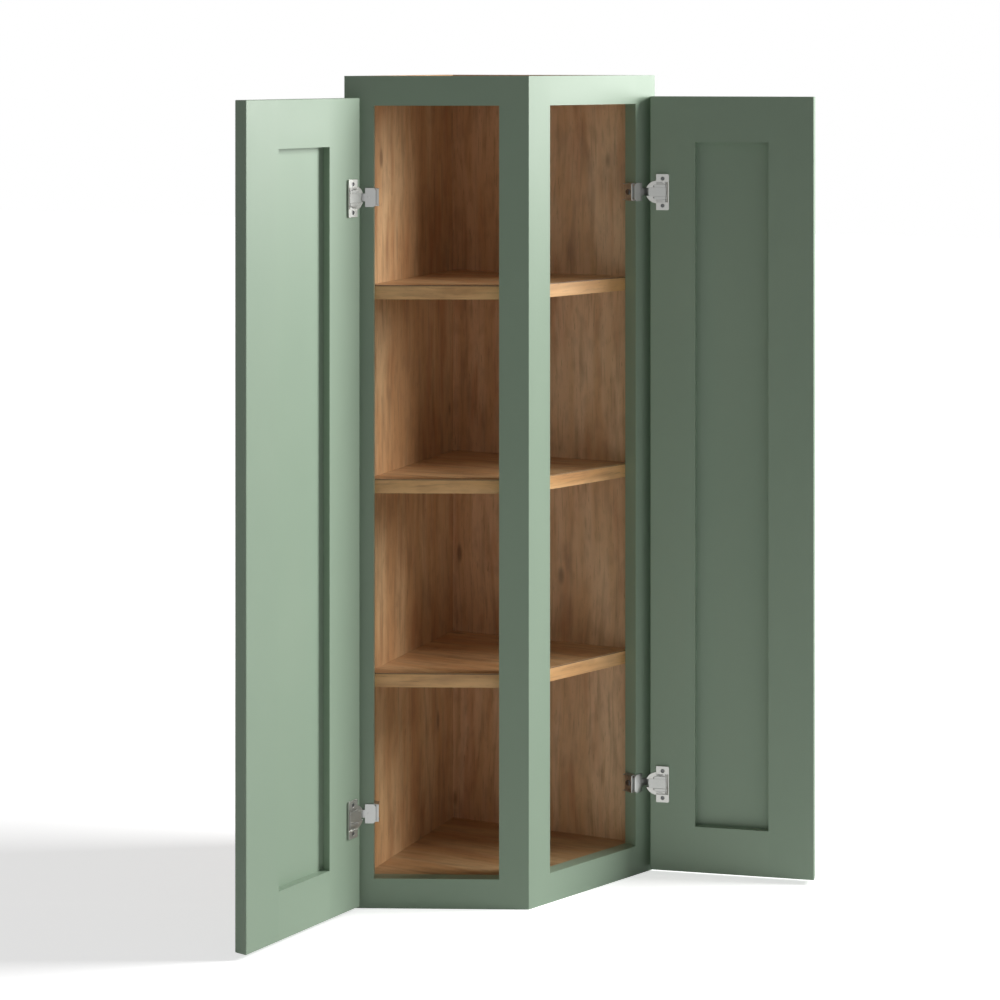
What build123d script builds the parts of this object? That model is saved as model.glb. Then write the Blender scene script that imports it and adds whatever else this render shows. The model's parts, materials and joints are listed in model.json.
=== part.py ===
from build123d import *
import os
from math import cos, radians, sin, tan

# A wall end cabinet: a kite in plan, with a square corner at the back, two plywood
# walls, two face frames that meet on a mitre at the front, and a door on each frame.
# Millimetres. +Z is up, +X runs along the wall and +Y points into the wall. The origin
# is the bottom centre of the face that goes on the wall. Both doors stand open.
os.makedirs("parts", exist_ok=True)

# Carcass: plywood walls, floor, roof and three fixed shelves housed in dados.
height = 1066.8
side_depth = 309.6
frame_turn = 22.5
sheet = 18.0
dado = 6.0
corner_rabbet = 9.0
housing_gap = 0.1
shelf_count = 3
shelf_bay = 232.0
shelf_setback = 1.0

# Face frames: solid wood stiles and rails, tenoned together and grooved for the walls.
frame_thick = 19.05
frame_width = 38.1
frame_tenon = 12.0
frame_tenon_thick = 6.35
frame_shoulder = 6.0
mortise_gap = 0.5
wall_tongue = 9.0
wall_tongue_depth = 6.0
wall_tongue_inset = 3.5
arris = 0.8

# Doors: grooved stiles and rails round a thin floating panel.
door_reveal = 18.5
door_gap = 3.2
door_bottom = 6.1
door_below_top = 28.1
door_meeting_gap = 0.36
door_thick = 18.0
door_stile = 60.3
door_rail = 60.9
door_groove = 10.0
panel_groove = 4.0
panel_slack = 0.1
panel_float = 0.5
back_lip = 10.8
door_ease = 1.0
door_end_ease = 0.6

# Hinges: a pivot pin in a cup that is let into the door, and a bent arm screwed with
# its bracket to the inner edge of the frame's stile.
open_angle = 124.5
pivot_out = 0.6
pivot_depth = 4.6
lower_hinge_up = 115.4
upper_hinge_down = 127.6
pin_radius = 2.0
pin_running_gap = 0.05
pin_fixed_gap = 0.02
pin_length = 15.0

cup_centre = 9.0
cup_radius = 14.8
cup_depth = 9.2
cup_floor = 1.0
cup_fit = 0.2
flange_radius = 15.2
flange_thick = 0.8
slot_half = 5.3
slot_end = 3.6
cavity_start = 4.6
cavity_end = 20.0
cavity_half = 8.5
ear_start = 8.2
ear_end = 25.6
ear_half = 24.0
ear_root = 13.6
ear_thick = 2.8
ear_round = 2.0
ear_hole_along = 17.0
ear_hole_up = 18.0
ear_hole_radius = 1.7

cover_thick = 0.5
cover_tip = 1.9
cover_half = 6.4
ridge_half = 10.0
ridge_gap = 0.8
ridge_start = 5.0
cover_end = 21.0
cover_skirt = 2.0
cover_fit = 0.25

arm_sheet = 1.5
arm_seat = 0.05
arm_eye = 3.65
arm_half = 5.0
arm_bend = 1.5
plate_start = 27.0
plate_half = 12.2
plate_clip = 3.0
leg_half = 9.5
leg_depth = 15.0
leg_slot = 8.0
leg_slot_width = 4.6

bracket_base = 1.3
bracket_start = 1.0
bracket_end = 18.4
bracket_rise = 6.4
bracket_wall = 1.2
bracket_wall_gap = 0.5
bracket_wall_inset = 1.2
bracket_clip = 1.5

spring_sheet = 0.8
spring_half = 4.0
spring_start = 5.2
spring_turn = 16.5
spring_fold = 1.4
spring_low = 7.6
spring_high = 3.0

bracket_screw_radius = 2.0
bracket_screw_hole = 2.1
bracket_screw_head = 3.8
bracket_screw_length = 20.0
bracket_screw_depth = 10.5
pan_head = 2.1

# Plan geometry. A frame starts at the end of its wall, turned by frame_turn, and ends on
# the middle plane, which halves the square back corner.
turn = radians(frame_turn)
half_corner = radians(45)
left_x = -side_depth / 2
frame_length = side_depth / (sin(turn) + cos(turn))
wall_bevel = frame_thick * tan(turn)
mitre_bevel = frame_thick * tan(half_corner - turn)
door_width = frame_length - door_reveal - door_meeting_gap
panel_thick = panel_groove - panel_slack

# left_front: X runs from the outer edge to the front corner, Y goes into the cabinet.
# left_face: X as before, Y up, Z straight out of the frame's face.
# left_edge: on the outer stile's inner edge, X into the cabinet, Y up, Z into the opening.
along = Vector(cos(turn), sin(turn), 0)
left_front = Plane(origin=(left_x, -side_depth, 0), x_dir=along, z_dir=(0, 0, 1))
left_face = Plane(origin=left_front.origin, x_dir=along, z_dir=-left_front.y_dir)
left_edge = Plane(
    origin=left_front.origin + along * frame_width,
    x_dir=left_front.y_dir,
    z_dir=along,
)
middle = Plane(origin=(left_x, 0, 0), x_dir=(0, 0, 1), z_dir=(1, 1, 0))

# The left door shut, the pin it turns on, and the same door swung open.
# left_door: X from the hinge edge across the door, Y towards the cabinet, Z up.
# door_back: on the door's back face, X as before, Y up, Z into the door.
pivot_local = (door_reveal - pivot_out, -door_gap - pivot_depth, 0)
pivot = left_front.from_local_coords(Vector(*pivot_local))
shut_corner = left_front.from_local_coords(Vector(door_reveal, -door_gap, 0))
shut_door = Plane(origin=shut_corner, x_dir=along, z_dir=(0, 0, 1))
swing = Pos(*pivot) * Rot(Z=-open_angle) * Pos(*(-pivot))
left_door = Plane(swing * shut_door.location)
door_back = Plane(origin=left_door.origin, x_dir=left_door.x_dir, z_dir=-left_door.y_dir)

# Heights. The bays between the shelves are equal from the roof down, and the lowest bay
# takes what is left.
floor_low = frame_width - sheet
roof_low = height - frame_width
shelf_lows = [roof_low - place * (shelf_bay + sheet) for place in range(shelf_count, 0, -1)]
board_lows = [floor_low, *shelf_lows, roof_low]
rail_lows = (0, height - frame_width)
door_height = height - door_below_top - door_bottom
hinge_levels = {
    "lower": door_bottom + lower_hinge_up,
    "upper": door_bottom + door_height - upper_hinge_down,
}


def keep(piece, name):
    """Label a finished piece and write it."""
    piece.part.label = name
    export_step(piece.part, f"parts/{name}.step")


def keep_pair(piece, name):
    """Write a left-hand piece and its mirror image about the cabinet's middle plane."""
    keep(piece, f"left_{name}")
    with BuildPart() as twin:
        mirror(piece.part, about=middle)
    keep(twin, f"right_{name}")


def plan_point(along_frame, inward):
    """A point of the left frame's plan, in the cabinet's own X and Y."""
    point = left_front.from_local_coords(Vector(along_frame, inward, 0))
    return (point.X, point.Y)


def mirrored(point):
    """The same plan point on the other side of the middle plane."""
    return (left_x - point[1], left_x - point[0])


def meets_wall(inward, into_wall):
    """Where a line parallel to the left frame meets a line parallel to the side wall."""
    return plan_point((into_wall + inward * sin(turn)) / cos(turn), inward)


def board_outline(setback):
    """A board's kite: housed in both walls, with a V front parallel to the frames."""
    inward = frame_thick + setback
    wing = meets_wall(inward, sheet - dado)
    nose = plan_point(frame_length - inward * tan(half_corner - turn), inward)
    corner = (left_x + sheet - dado, dado - sheet)
    return (wing, nose, mirrored(wing), corner)


# The two walls meet in a rabbet at the back corner. Their front ends are cut parallel
# to the frames and carry a tongue that enters the frame's groove.
wall_front_out = meets_wall(frame_thick, 0)
wall_front_in = meets_wall(frame_thick, sheet)
tongue_start = wall_bevel + wall_tongue_inset
dado_front = board_outline(-wall_tongue_depth)

with BuildPart() as side_panel:
    with BuildSketch():
        Polygon(
            (left_x, 0),
            wall_front_out,
            wall_front_in,
            (left_x + sheet, -sheet),
            (left_x + corner_rabbet, -sheet),
            (left_x + corner_rabbet, 0),
            align=None,
        )
    extrude(amount=height)
    with BuildSketch(left_front):
        with Locations((tongue_start, frame_thick)):
            Rectangle(wall_tongue, 2 * wall_tongue_depth, align=(Align.MIN, Align.CENTER))
    extrude(amount=height)
    for low in board_lows:
        with BuildSketch(Plane.XY.offset(low)):
            Polygon(*dado_front, align=None)
        extrude(amount=sheet + housing_gap, mode=Mode.SUBTRACT)
keep(side_panel, "side_panel")

with BuildPart() as back_panel:
    with BuildSketch():
        Polygon(
            (left_x + corner_rabbet, 0),
            mirrored(wall_front_out),
            mirrored(wall_front_in),
            (left_x + corner_rabbet, -sheet),
            align=None,
        )
    extrude(amount=height)
    with BuildSketch(left_front):
        with Locations((tongue_start, frame_thick)):
            Rectangle(wall_tongue, 2 * wall_tongue_depth, align=(Align.MIN, Align.CENTER))
    tongue = extrude(amount=height, mode=Mode.PRIVATE)
    mirror(tongue, about=middle)
    for low in board_lows:
        with BuildSketch(Plane.XY.offset(low)):
            Polygon(*dado_front, align=None)
        extrude(amount=sheet + housing_gap, mode=Mode.SUBTRACT)
keep(back_panel, "back_panel")

# Floor and roof sit against the frames, the shelves a little behind them.
setbacks = [0, *(shelf_setback for low in shelf_lows), 0]
shelf_names = [f"shelf_{number}" for number in range(1, shelf_count + 1)]
board_names = ["bottom_panel", *shelf_names, "top_panel"]
for name, low, setback in zip(board_names, board_lows, setbacks):
    with BuildPart() as board:
        with BuildSketch(Plane.XY.offset(low)):
            Polygon(*board_outline(setback), align=None)
        extrude(amount=sheet)
    keep(board, name)

# Face frame stiles, mortised for the rails. The outer one is cut parallel to its wall
# and grooved for the wall's tongue; the inner ones meet on the mitre at the front.
tenon_inward = (frame_thick - frame_tenon_thick) / 2
tenon_height = frame_width - 2 * frame_shoulder
mortise = frame_tenon + mortise_gap
stile_start = frame_length - frame_width

with BuildPart() as outer_stile:
    with BuildSketch(left_front) as outer_section:
        Polygon(
            (0, 0),
            (frame_width, 0),
            (frame_width, frame_thick),
            (wall_bevel, frame_thick),
            align=None,
        )
        chamfer(outer_section.vertices().sort_by(Axis.X)[0], length=arris)
        with Locations((tongue_start, frame_thick)):
            Rectangle(
                wall_tongue,
                wall_tongue_depth,
                align=(Align.MIN, Align.MAX),
                mode=Mode.SUBTRACT,
            )
    extrude(amount=height)
    for low in rail_lows:
        with BuildSketch(left_front.offset(low + frame_shoulder)):
            with Locations((frame_width, tenon_inward)):
                Rectangle(mortise, frame_tenon_thick, align=(Align.MAX, Align.MIN))
        extrude(amount=tenon_height, mode=Mode.SUBTRACT)
    for level in hinge_levels.values():
        with BuildSketch(left_edge):
            with Locations((bracket_screw_depth, level)):
                Circle(bracket_screw_radius)
        extrude(amount=-bracket_screw_length, mode=Mode.SUBTRACT)
keep_pair(outer_stile, "outer_stile")

with BuildPart() as inner_stile:
    with BuildSketch(left_front):
        Polygon(
            (stile_start, 0),
            (frame_length, 0),
            (frame_length - mitre_bevel, frame_thick),
            (stile_start, frame_thick),
            align=None,
        )
    extrude(amount=height)
    for low in rail_lows:
        with BuildSketch(left_front.offset(low + frame_shoulder)):
            with Locations((stile_start, tenon_inward)):
                Rectangle(mortise, frame_tenon_thick, align=(Align.MIN, Align.MIN))
        extrude(amount=tenon_height, mode=Mode.SUBTRACT)
keep_pair(inner_stile, "inner_stile")

for name, low in zip(("bottom_rail", "top_rail"), rail_lows):
    with BuildPart() as rail:
        with BuildSketch(left_front.offset(low)):
            with Locations((frame_width, 0)):
                Rectangle(stile_start - frame_width, frame_thick, align=Align.MIN)
        extrude(amount=frame_width)
        with BuildSketch(left_front.offset(low + frame_shoulder)):
            with Locations((frame_width - frame_tenon, tenon_inward)):
                Rectangle(
                    stile_start - frame_width + 2 * frame_tenon,
                    frame_tenon_thick,
                    align=Align.MIN,
                )
        extrude(amount=tenon_height)
    keep_pair(rail, name)

free_stile_start = door_width - door_stile
stile_core = door_stile - door_groove
across_door = Axis(left_door.origin, left_door.x_dir)


def from_stile_edge(edge):
    """How far across the door an edge's middle is from the nearer of its two side edges."""
    across = left_door.to_local_coords(edge.center()).X
    return min(across, door_width - across)


def ease_ends(stile):
    """Chamfer a stile's top and bottom ends, all round but where they meet the rails."""
    levels = stile.edges().group_by(Axis.Z)
    ends = levels[0] + levels[-1]
    chamfer(ends.filter_by(lambda edge: from_stile_edge(edge) < stile_core - door_ease), door_end_ease)


# Door stiles run the full height, grooved along their inner edges. The hinge stile is
# bored for both cups, which break out through its edge.
with BuildPart() as hinge_stile:
    with BuildSketch(left_door.offset(door_bottom)) as hinge_section:
        Rectangle(door_stile, door_thick, align=(Align.MIN, Align.MAX))
        chamfer(hinge_section.vertices().group_by(Axis.X)[0], length=door_ease)
        with Locations((door_stile, -back_lip)):
            Rectangle(door_groove, panel_groove, align=Align.MAX, mode=Mode.SUBTRACT)
    extrude(amount=door_height)
    ease_ends(hinge_stile)
    for level in hinge_levels.values():
        with BuildSketch(door_back):
            with Locations((cup_centre, level)):
                Circle(cup_radius + cup_fit)
        extrude(amount=cup_depth + cup_fit, mode=Mode.SUBTRACT)
keep_pair(hinge_stile, "door_hinge_stile")

with BuildPart() as free_stile:
    with BuildSketch(left_door.offset(door_bottom)) as free_section:
        with Locations((free_stile_start, 0)):
            Rectangle(door_stile, door_thick, align=(Align.MIN, Align.MAX))
        chamfer(free_section.vertices().group_by(Axis.X)[-1], length=door_ease)
        with Locations((free_stile_start, -back_lip)):
            Rectangle(
                door_groove,
                panel_groove,
                align=(Align.MIN, Align.MAX),
                mode=Mode.SUBTRACT,
            )
    extrude(amount=door_height)
    ease_ends(free_stile)
keep_pair(free_stile, "door_free_stile")

# Door rails end in stub tenons that fill the stiles' grooves, and are grooved for the
# panel along the edge that faces it.
door_top_low = door_bottom + door_height - door_rail
rail_body = free_stile_start - door_stile
panel_low = door_bottom + door_rail
door_rails = (
    ("bottom", door_bottom, panel_low - door_groove, 0),
    ("top", door_top_low, door_top_low, -1),
)
for end, low, groove_low, outer_group in door_rails:
    with BuildPart() as door_rail_piece:
        with BuildSketch(left_door.offset(low)):
            with Locations((door_stile, 0)):
                Rectangle(rail_body, door_thick, align=(Align.MIN, Align.MAX))
            with Locations((door_stile - door_groove, -back_lip)):
                Rectangle(
                    rail_body + 2 * door_groove,
                    panel_groove,
                    align=(Align.MIN, Align.MAX),
                )
        extrude(amount=door_rail)
        with BuildSketch(left_door.offset(groove_low)):
            with Locations((door_stile - door_groove, -back_lip)):
                Rectangle(
                    rail_body + 2 * door_groove,
                    panel_groove,
                    align=(Align.MIN, Align.MAX),
                )
        extrude(amount=door_groove, mode=Mode.SUBTRACT)
        outer_end = door_rail_piece.edges().group_by(Axis.Z)[outer_group]
        chamfer(outer_end.filter_by(lambda edge: edge.length > rail_body - panel_slack), door_end_ease)
    keep_pair(door_rail_piece, f"door_{end}_rail")

panel_reach = door_groove - panel_float
with BuildPart() as door_panel:
    with BuildSketch(left_door.offset(panel_low - panel_reach)):
        with Locations((door_stile - panel_reach, -back_lip - panel_slack)):
            Rectangle(
                rail_body + 2 * panel_reach,
                panel_thick,
                align=(Align.MIN, Align.MAX),
            )
    extrude(amount=door_top_low - panel_low + 2 * panel_reach)
keep_pair(door_panel, "door_panel")

# The hinges. In door_back, X is the distance from the door's hinge edge, so the pin
# stands just outside the edge, in the part of the cup that overhangs it.
cover_seat = flange_thick
cover_top = cover_seat + cover_thick
pin_half = pin_length / 2
cavity_width = cavity_end - cavity_start
leg_rise = bracket_base + arm_seat
screw_seat = leg_rise + arm_sheet

for place, level in hinge_levels.items():
    # Die-cast cup: a round flange and two thick screw ears on the door's face, and a
    # round body behind them with a slot for the arm and a cavity for the spring.
    with BuildPart() as cup:
        with BuildSketch(door_back.offset(-flange_thick)):
            with Locations((cup_centre, level)):
                Circle(flange_radius)
            with Locations((ear_start, level)):
                Rectangle(
                    ear_end - ear_start,
                    2 * ear_half,
                    align=(Align.MIN, Align.CENTER),
                )
        extrude(amount=flange_thick)
        for side in (1, -1):
            with BuildSketch(door_back.offset(-ear_thick)) as ear:
                with Locations((ear_start, level + side * (ear_root + ear_half) / 2)):
                    Rectangle(
                        ear_end - ear_start,
                        ear_half - ear_root,
                        align=(Align.MIN, Align.CENTER),
                    )
            extrude(amount=ear_thick)
        corners = cup.edges().filter_by(Axis(door_back.origin, door_back.z_dir)).group_by(Axis.Z)
        fillet((corners[0] + corners[-1]).sort_by(across_door)[-2:], radius=ear_round)
        with BuildSketch(door_back):
            with Locations((cup_centre, level)):
                Circle(cup_radius)
        extrude(amount=cup_depth)
        with BuildSketch(door_back.offset(-flange_thick)):
            with Locations((slot_end, level)):
                Rectangle(
                    slot_end + cup_radius,
                    2 * slot_half,
                    align=(Align.MAX, Align.CENTER),
                )
        extrude(amount=flange_thick + cup_depth, mode=Mode.SUBTRACT)
        with BuildSketch(door_back.offset(-flange_thick)):
            with Locations((cavity_start, level)):
                Rectangle(
                    cavity_width,
                    2 * cavity_half,
                    align=(Align.MIN, Align.CENTER),
                )
        extrude(amount=flange_thick + cup_depth - cup_floor, mode=Mode.SUBTRACT)
        with BuildSketch(left_front.offset(level - pin_half)):
            with Locations(pivot_local[:2]):
                Circle(pin_radius + pin_fixed_gap)
        extrude(amount=pin_length, mode=Mode.SUBTRACT)
        with BuildSketch(door_back.offset(-ear_thick)):
            with Locations((ear_hole_along, level)):
                with GridLocations(0, 2 * ear_hole_up, 1, 2):
                    Circle(ear_hole_radius)
        extrude(amount=ear_thick, mode=Mode.SUBTRACT)
    keep_pair(cup, f"{place}_hinge_cup")

    # Pressed cover over the spring's cavity, with a raised rib along each side and a
    # skirt that locates it in the cavity.
    with BuildPart() as cover:
        with BuildSketch(door_back.offset(-cover_top)):
            with Locations((-cover_tip, level)):
                Rectangle(
                    cover_end + cover_tip,
                    2 * cover_half,
                    align=(Align.MIN, Align.CENTER),
                )
            with Locations((ridge_start, level)):
                Rectangle(
                    cover_end - ridge_start,
                    2 * ridge_half,
                    align=(Align.MIN, Align.CENTER),
                )
        extrude(amount=cover_thick)
        with BuildSketch(door_back.offset(-cover_top)):
            for side in (1, -1):
                with Locations((ridge_start + ridge_gap, level + side * cover_half)):
                    Rectangle(
                        cover_end - ridge_start - 2 * ridge_gap,
                        ridge_gap,
                        align=(Align.MIN, Align.CENTER),
                    )
        extrude(amount=cover_thick / 2, mode=Mode.SUBTRACT)
        with BuildSketch(door_back.offset(-cover_seat)):
            with Locations((cavity_start + cover_fit, level)):
                Rectangle(
                    cavity_width - 2 * cover_fit,
                    2 * (cavity_half - cover_fit),
                    align=(Align.MIN, Align.CENTER),
                )
            with Locations((cavity_start + cover_fit + spring_sheet, level)):
                Rectangle(
                    cavity_width - 2 * (cover_fit + spring_sheet),
                    2 * (cavity_half - cover_fit - spring_sheet),
                    align=(Align.MIN, Align.CENTER),
                    mode=Mode.SUBTRACT,
                )
        extrude(amount=cover_skirt)
    keep_pair(cover, f"{place}_hinge_cover")

    # Hairpin spring that closes the door: a strip folded double, which lies in the cavity
    # behind the arm's eye.
    with BuildPart() as spring:
        with BuildSketch(left_door.offset(level - spring_half)):
            with BuildLine() as hairpin:
                Polyline(
                    (spring_start, -spring_low),
                    (spring_turn, -spring_low),
                    (spring_turn + spring_fold, -spring_low + spring_fold),
                    (spring_turn + spring_fold, -spring_high - spring_fold),
                    (spring_turn, -spring_high),
                    (spring_start, -spring_high),
                )
            trace(hairpin.line, line_width=spring_sheet)
        extrude(amount=2 * spring_half)
    keep_pair(spring, f"{place}_hinge_spring")

    # Pressed arm: an eye on the pin, a leg that hooks round the door's edge to the face
    # of the frame, a wide plate there, and a slotted leg down the stile's inner edge.
    pivot_along = door_reveal - pivot_out
    hook_along = pivot_along - arm_eye + arm_sheet / 2
    hook_out = arm_seat + arm_sheet / 2
    plate_end = frame_width + leg_rise + arm_sheet
    with BuildPart() as arm:
        with BuildSketch(left_front.offset(level - arm_half)):
            with BuildLine() as hook:
                FilletPolyline(
                    (hook_along, -door_gap - pivot_depth),
                    (hook_along, -hook_out),
                    (plate_start + arm_sheet, -hook_out),
                    radius=arm_bend,
                )
            trace(hook.line, line_width=arm_sheet)
            with Locations(pivot_local[:2]):
                Circle(arm_eye)
                Circle(pin_radius + pin_running_gap, mode=Mode.SUBTRACT)
        extrude(amount=2 * arm_half)
        with BuildSketch(left_face.offset(arm_seat)):
            Polygon(
                (plate_start, level - plate_half),
                (plate_end - plate_clip, level - plate_half),
                (plate_end, level - plate_half + plate_clip),
                (plate_end, level + plate_half - plate_clip),
                (plate_end - plate_clip, level + plate_half),
                (plate_start, level + plate_half),
                align=None,
            )
        extrude(amount=arm_sheet)
        with BuildSketch(left_edge.offset(leg_rise)):
            with Locations((-arm_seat - arm_sheet, level)):
                Rectangle(
                    leg_depth + arm_seat + arm_sheet,
                    2 * leg_half - plate_clip,
                    align=(Align.MIN, Align.CENTER),
                )
            with Locations((bracket_screw_depth, level)):
                SlotOverall(leg_slot, leg_slot_width, mode=Mode.SUBTRACT)
        extrude(amount=arm_sheet)
    keep_pair(arm, f"{place}_hinge_arm")

    # Channel bracket on the stile's inner edge, under the arm's leg.
    with BuildPart() as bracket:
        with BuildSketch(left_edge) as base:
            with Locations((bracket_start, level)):
                Rectangle(
                    bracket_end - bracket_start,
                    2 * plate_half,
                    align=(Align.MIN, Align.CENTER),
                )
            chamfer(base.vertices(), length=bracket_clip)
            with Locations((bracket_screw_depth, level)):
                Circle(bracket_screw_hole, mode=Mode.SUBTRACT)
        extrude(amount=bracket_base)
        with BuildSketch(left_edge):
            for side in (1, -1):
                wall_middle = leg_half + bracket_wall_gap + bracket_wall / 2
                with Locations((bracket_start + bracket_wall_inset, level + side * wall_middle)):
                    Rectangle(
                        bracket_end - bracket_start - 2 * bracket_wall_inset,
                        bracket_wall,
                        align=(Align.MIN, Align.CENTER),
                    )
        extrude(amount=bracket_rise)
    keep_pair(bracket, f"{place}_hinge_bracket")

    with BuildPart() as pin:
        with BuildSketch(left_front.offset(level - pin_half)):
            with Locations(pivot_local[:2]):
                Circle(pin_radius)
        extrude(amount=pin_length)
    keep_pair(pin, f"{place}_hinge_pin")

# The two screws of each side that hold arm and bracket to the stile, as one node.
with BuildPart() as bracket_screws:
    for level in hinge_levels.values():
        spot = (bracket_screw_depth, level)
        with BuildSketch(left_edge.offset(screw_seat)):
            with Locations(spot):
                Circle(bracket_screw_head)
        extrude(amount=pan_head)
        with BuildSketch(left_edge.offset(screw_seat)):
            with Locations(spot):
                Circle(bracket_screw_radius)
        extrude(amount=-bracket_screw_length - screw_seat)
keep_pair(bracket_screws, "bracket_screws")

right_pivot = mirrored((pivot.X, pivot.Y))
print("frame length", round(frame_length, 3), "door width", round(door_width, 3))
print("left pivot", round(pivot.X, 3), round(pivot.Y, 3))
print("right pivot", round(right_pivot[0], 3), round(right_pivot[1], 3))
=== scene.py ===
import json
from math import cos, radians, sin

import bmesh
import bpy
from mathutils import Matrix, Vector


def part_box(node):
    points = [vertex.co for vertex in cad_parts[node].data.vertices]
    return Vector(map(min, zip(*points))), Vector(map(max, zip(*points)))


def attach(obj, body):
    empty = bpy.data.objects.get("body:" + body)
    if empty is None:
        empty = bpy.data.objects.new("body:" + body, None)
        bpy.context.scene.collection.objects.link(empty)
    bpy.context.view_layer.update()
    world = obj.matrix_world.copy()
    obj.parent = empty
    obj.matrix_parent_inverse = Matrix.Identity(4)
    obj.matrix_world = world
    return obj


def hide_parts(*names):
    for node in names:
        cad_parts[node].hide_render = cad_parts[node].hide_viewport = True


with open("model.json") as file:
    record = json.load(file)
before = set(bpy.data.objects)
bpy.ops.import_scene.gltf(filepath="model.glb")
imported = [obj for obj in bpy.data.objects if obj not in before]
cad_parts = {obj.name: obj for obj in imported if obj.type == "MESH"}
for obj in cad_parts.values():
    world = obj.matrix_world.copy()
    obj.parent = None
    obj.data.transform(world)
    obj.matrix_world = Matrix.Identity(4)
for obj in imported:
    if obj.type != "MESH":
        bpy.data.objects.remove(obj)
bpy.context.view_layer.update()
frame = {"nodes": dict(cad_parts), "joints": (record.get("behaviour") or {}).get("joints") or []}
nodes = frame["nodes"]


# Camera: a long lens at the height of the cabinet's top, level, so that uprights stay
# upright, and shifted down to take in the floor. It stands to the right of square on.
film_width = 36.0
image_width = 1000
focal_pixels = 2516.6
horizon_row = 60.08
camera_spot = Vector((1.3366, -3.1774, 1.0871))
camera_turn = 23.93
camera_reach = 60

lens = bpy.data.cameras.new("camera")
lens.sensor_width = film_width
lens.lens = focal_pixels * film_width / image_width
lens.shift_y = horizon_row / image_width - 0.5
lens.clip_end = camera_reach
camera = bpy.data.objects.new("camera", lens)
camera.location = camera_spot
camera.rotation_euler = (radians(90), 0, radians(camera_turn))
bpy.context.scene.collection.objects.link(camera)
bpy.context.scene.camera = camera
bpy.context.scene.view_settings.view_transform = "Standard"


# Studio floor: white painted boards under the cabinet, so wide that no edge shows. The
# camera sees them lifted towards white, less so near the cabinet, where its shadow has to
# stay. Mirrored rays see a share of that, so that the paint keeps its depth of colour.
def to_linear(code):
    """The linear colour, opaque, of an sRGB hex code such as "8ea48f"."""
    parts = [int(code[i:i + 2], 16) / 255 for i in (0, 2, 4)]
    return [p / 12.92 if p <= 0.04045 else ((p + 0.055) / 1.055) ** 2.4 for p in parts] + [1.0]


def add_node(tree, kind, options=None, sockets=None):
    """Add a node, set its options, and give each named input a value or an output."""
    node = tree.nodes.new(kind)
    for name, value in (options or {}).items():
        setattr(node, name, value)
    for name, value in (sockets or {}).items():
        if isinstance(value, bpy.types.NodeSocket):
            tree.links.new(value, node.inputs[name])
        else:
            node.inputs[name].default_value = value
    return node


def new_material(name):
    """An empty node material, as (material, tree)."""
    material = bpy.data.materials.new(name)
    material.use_nodes = True
    material.node_tree.nodes.clear()
    return material, material.node_tree


def piece_from(shape, name, material):
    """Turn a finished bmesh into an object that wears one material."""
    bmesh.ops.recalc_face_normals(shape, faces=shape.faces)
    mesh = bpy.data.meshes.new(name)
    shape.to_mesh(mesh)
    shape.free()
    mesh.materials.append(material)
    piece = bpy.data.objects.new(name, mesh)
    bpy.context.scene.collection.objects.link(piece)
    return piece


floor_reach = 12.0
floor_white = "eeeeee"
floor_lift = 0.62
floor_near = 0.75
floor_far = 1.5
mirrored_share = 0.65


def seen_as_backdrop(tree):
    """1 for rays from the camera or through glass, a share for mirrored rays, else 0."""
    rays = add_node(tree, "ShaderNodeLightPath")
    mirrored = add_node(tree, "ShaderNodeMath", {"operation": "MULTIPLY"}, {
        0: rays.outputs["Is Glossy Ray"], 1: mirrored_share,
    })
    seen = add_node(tree, "ShaderNodeMath", {"operation": "MAXIMUM"}, {
        0: rays.outputs["Is Camera Ray"], 1: mirrored.outputs[0],
    })
    return add_node(tree, "ShaderNodeMath", {"operation": "MAXIMUM"}, {
        0: seen.outputs[0], 1: rays.outputs["Is Transmission Ray"],
    }).outputs[0]


# Matt floor paint, rolled out flat: it has no gloss, so the eye gets only the soft shadow.
floor_paint, tree = new_material("white_floor_paint")
spot = add_node(tree, "ShaderNodeTexCoord")
reach = add_node(tree, "ShaderNodeVectorMath", {"operation": "LENGTH"}, {
    0: spot.outputs["Object"],
})
fade = add_node(tree, "ShaderNodeMapRange", {"interpolation_type": "SMOOTHSTEP"}, {
    "Value": reach.outputs["Value"], "From Min": floor_near, "From Max": floor_far,
    "To Min": floor_lift, "To Max": 1.0,
})
lift = add_node(tree, "ShaderNodeMath", {"operation": "MULTIPLY"}, {
    0: seen_as_backdrop(tree), 1: fade.outputs["Result"],
})
glow = add_node(tree, "ShaderNodeEmission", None, {"Strength": lift.outputs[0]})
matt = add_node(tree, "ShaderNodeBsdfDiffuse", None, {"Color": to_linear(floor_white)})
both = add_node(tree, "ShaderNodeAddShader", None, {0: glow.outputs[0], 1: matt.outputs[0]})
add_node(tree, "ShaderNodeOutputMaterial", None, {"Surface": both.outputs[0]})

shape = bmesh.new()
bmesh.ops.create_grid(shape, x_segments=1, y_segments=1, size=floor_reach)
floor = piece_from(shape, "floor", floor_paint)


# Studio light: a tall soft panel to the right and a little behind, which throws the
# shadows, a weak one far to the front left, and a pale room that fills the last shade.
# Turns are in degrees from the camera's right, and the room is seen white as the floor is.
panel_distance = 2.5
panel_aim = Vector((0, -0.22, 0))
panels = {
    "key_panel": {"turn": 3.6, "low": 0.9, "wide": 0.75, "tall": 1.75, "power": 118.0},
    "front_panel": {"turn": -138.0, "low": 0.05, "wide": 1.06, "tall": 2.8, "power": 2.6},
}
room_fill = 0.13

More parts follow.
